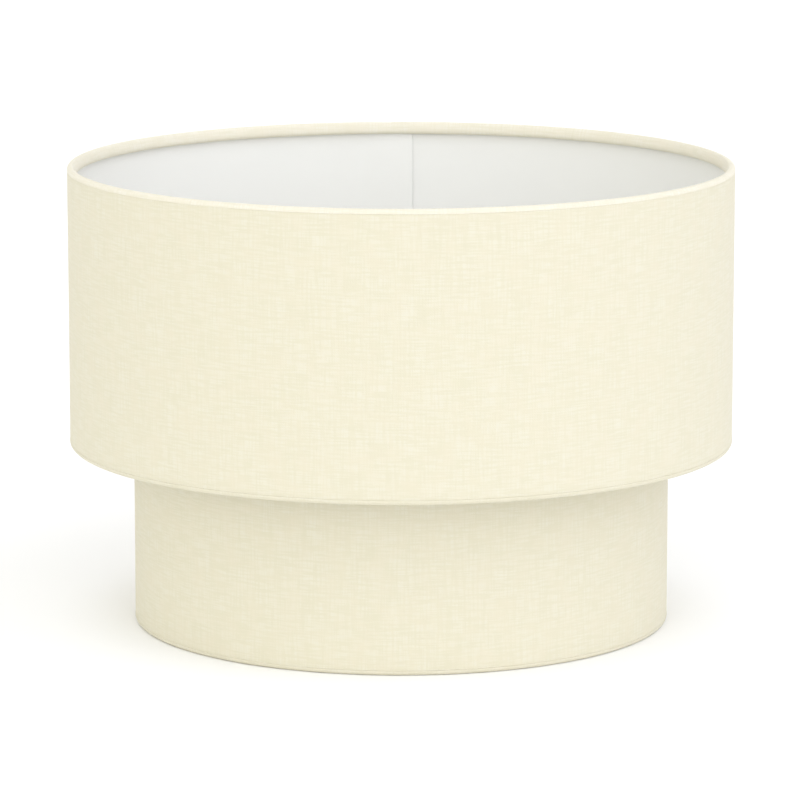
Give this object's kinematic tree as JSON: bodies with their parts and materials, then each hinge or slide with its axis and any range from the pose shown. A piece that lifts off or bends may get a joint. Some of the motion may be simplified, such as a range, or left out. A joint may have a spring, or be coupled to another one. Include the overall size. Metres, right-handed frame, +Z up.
{
  "type": "two-tier drum lamp shade",
  "caption": "Two-tier drum lamp shade: a wide cloth drum with a narrower drum hung inside its lower edge, rolled cloth rims, white lining, and a wire spider with a lampholder ring.",
  "frame": {"origin": "centre of the lower drum's bottom edge, on the surface the shade stands on", "axes": "+Z up along the drums' common axis, +Y towards the back, where the sheets lap; +X to the right seen from the front"},
  "size_m": [0.4, 0.4, 0.277],
  "materials": {
    "ivory_cloth": "fine plain-woven ivory linen and cotton, matt",
    "white_lining": "smooth white styrene sheet, low sheen",
    "coated_wire": "white epoxy-coated steel wire and pressing"
  },
  "bodies": {
    "root": {"upper_cover": "ivory_cloth", "upper_top_edge": "ivory_cloth", "upper_bottom_edge": "ivory_cloth", "lower_cover": "ivory_cloth", "lower_top_edge": "ivory_cloth", "lower_bottom_edge": "ivory_cloth", "upper_lining": "white_lining", "lower_lining": "white_lining", "upper_top_ring": "coated_wire", "upper_bottom_ring": "coated_wire", "lower_top_ring": "coated_wire", "lower_bottom_ring": "coated_wire", "fitter_ring": "coated_wire", "spider_arm_1": "coated_wire", "spider_arm_2": "coated_wire", "spider_arm_3": "coated_wire", "tier_strut_1": "coated_wire", "tier_strut_2": "coated_wire", "tier_strut_3": "coated_wire"}
  },
  "joints": []
}
